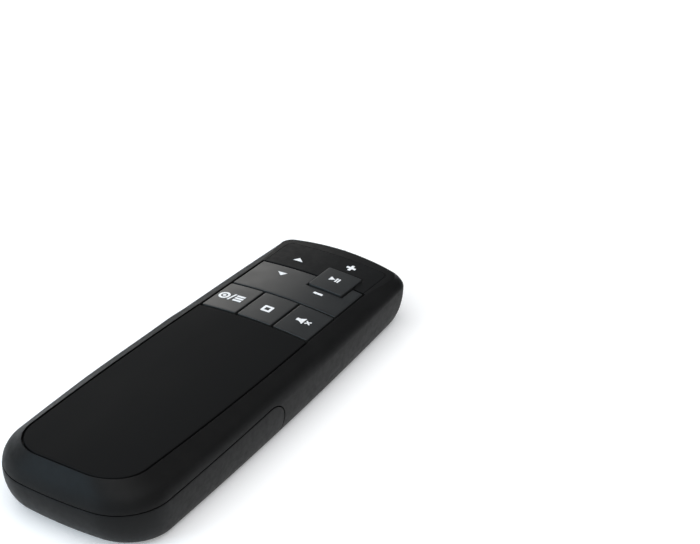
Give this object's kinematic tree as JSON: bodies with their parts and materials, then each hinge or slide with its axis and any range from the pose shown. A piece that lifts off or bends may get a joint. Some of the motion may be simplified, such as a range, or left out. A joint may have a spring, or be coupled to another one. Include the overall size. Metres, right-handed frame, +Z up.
{
  "type": "wireless presentation clicker",
  "caption": "Slim hand-held presentation remote: crowned top with palm panel, rocker and press keys at the nose, laser pointer, slide-off battery door round the tail.",
  "frame": {"origin": "centre of the outline on the underside, on the surface it rests on", "axes": "+Y to the nose, +Z up, +X to the right when held"},
  "size_m": [0.043, 0.1196, 0.0183],
  "materials": {
    "housing": "fine matte",
    "cover": "fine matte",
    "door": "fine matte",
    "panel": "smooth satin, a little shinier than the housing",
    "nose_cap": "fine matte",
    "band_cap": "satin",
    "play_cap": "satin",
    "small_caps": "satin",
    "print": "white pad print",
    "frame": "plain moulded",
    "mat": "silicone rubber",
    "board": "green solder mask",
    "chip": "moulded epoxy",
    "can": "plated metal",
    "ceramic": "ceramic",
    "brass": "turned",
    "lens": "clear",
    "window": "clear red tint",
    "tray": "plain moulded",
    "cell": "printed sleeve",
    "spring": "nickel plated",
    "wire": "PVC insulation",
    "plug": "plated steel",
    "rx_cap": "satin",
    "screw": "black zinc"
  },
  "bodies": {
    "housing": {"top_shell": "housing", "bottom_cover": "cover", "palm_panel": "panel", "key_frame": "frame", "keypad_mat": "mat", "circuit_board": "board", "controller_chip": "chip", "radio_chip": "chip", "crystal": "can", "antenna": "ceramic", "laser_barrel": "brass", "laser_diode": "can", "laser_lens": "lens", "laser_window": "window", "battery_tray": "tray", "left_cell": "cell", "right_cell": "cell", "contact_springs": "spring", "contact_plates": "spring", "battery_leads": "wire", "receiver_plug": "plug", "receiver_cap": "rx_cap", "cover_screws": "screw", "board_screws": "screw", "tray_screws": "screw"},
    "door": {"battery_door": "door"},
    "nose": {"nose_rocker": "nose_cap", "nose_legends": "print"},
    "band": {"band_rocker": "band_cap", "band_legends": "print"},
    "play": {"play_key": "play_cap", "play_legend": "print"},
    "screen": {"screen_key": "small_caps", "screen_legend": "print"},
    "stop": {"stop_key": "small_caps", "stop_legend": "print"},
    "mute": {"mute_key": "small_caps", "mute_legend": "print"}
  },
  "joints": [
    {"name": "door_slide", "type": "slide", "parent": "housing", "child": "door", "axis": [0, -1, 0], "range_m": [0, 0.06]},
    {"name": "nose_rock", "type": "hinge", "parent": "housing", "child": "nose", "pos_m": [-0.0006, 0.04853, 0.01084], "axis": [0, 0.9991, -0.0426], "range_deg": [-1.5, 1.5], "stiffness_Nm_per_rad": 0.05, "deforming": ["keypad_mat"]},
    {"name": "band_rock", "type": "hinge", "parent": "housing", "child": "band", "pos_m": [-0.0006, 0.03614, 0.01137], "axis": [0, 0.9991, -0.0426], "range_deg": [-1.5, 1.5], "stiffness_Nm_per_rad": 0.05, "deforming": ["keypad_mat"]},
    {"name": "play_press", "type": "slide", "parent": "housing", "child": "play", "axis": [0, -0.0426, -0.9991], "range_m": [0, 0.00035], "stiffness_N_per_m": 900, "deforming": ["keypad_mat"]},
    {"name": "screen_press", "type": "slide", "parent": "housing", "child": "screen", "axis": [0, -0.0426, -0.9991], "range_m": [0, 0.00035], "stiffness_N_per_m": 900, "deforming": ["keypad_mat"]},
    {"name": "stop_press", "type": "slide", "parent": "housing", "child": "stop", "axis": [0, -0.0426, -0.9991], "range_m": [0, 0.00035], "stiffness_N_per_m": 900, "deforming": ["keypad_mat"]},
    {"name": "mute_press", "type": "slide", "parent": "housing", "child": "mute", "axis": [0, -0.0426, -0.9991], "range_m": [0, 0.00035], "stiffness_N_per_m": 900, "deforming": ["keypad_mat"]}
  ]
}
